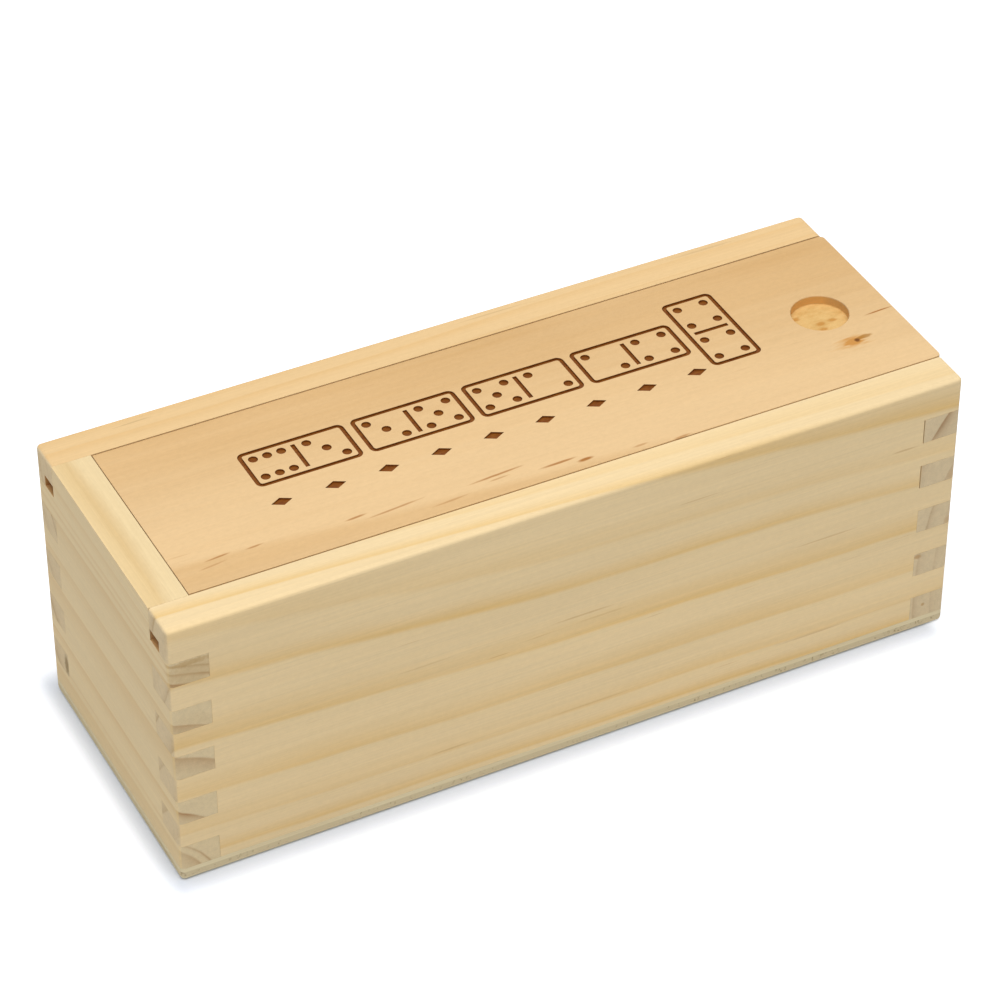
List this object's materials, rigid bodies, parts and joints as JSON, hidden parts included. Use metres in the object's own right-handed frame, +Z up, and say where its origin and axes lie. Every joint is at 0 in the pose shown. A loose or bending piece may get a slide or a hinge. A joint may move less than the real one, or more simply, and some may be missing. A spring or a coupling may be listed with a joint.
{
  "type": "domino storage box",
  "caption": "Small oblong wooden box with finger-jointed corners and a plywood base, and a grooved sliding lid with a round finger recess and engraved domino tiles, for storing a domino set.",
  "frame": {"origin": "middle of the underside of the base plate, on the surface that the box stands on", "axes": "+X along the box, towards the low end where the lid slides out; +Y towards the back side; +Z up"},
  "size_m": [0.1672, 0.062, 0.061],
  "materials": {
    "side_pine": "sanded, matt clear",
    "end_pine": "sanded, matt clear",
    "base_plywood": "sanded, bare",
    "lid_pine": "sanded, satin clear, engraving burnt brown"
  },
  "bodies": {
    "box": {"front_side": "side_pine", "back_side": "side_pine", "closed_end": "end_pine", "low_end": "end_pine", "base_plate": "base_plywood"},
    "lid": {"lid": "lid_pine"}
  },
  "joints": [
    {"name": "lid_slide", "type": "slide", "parent": "box", "child": "lid", "axis": [1, 0, 0], "range_m": [0, 0.164]}
  ]
}
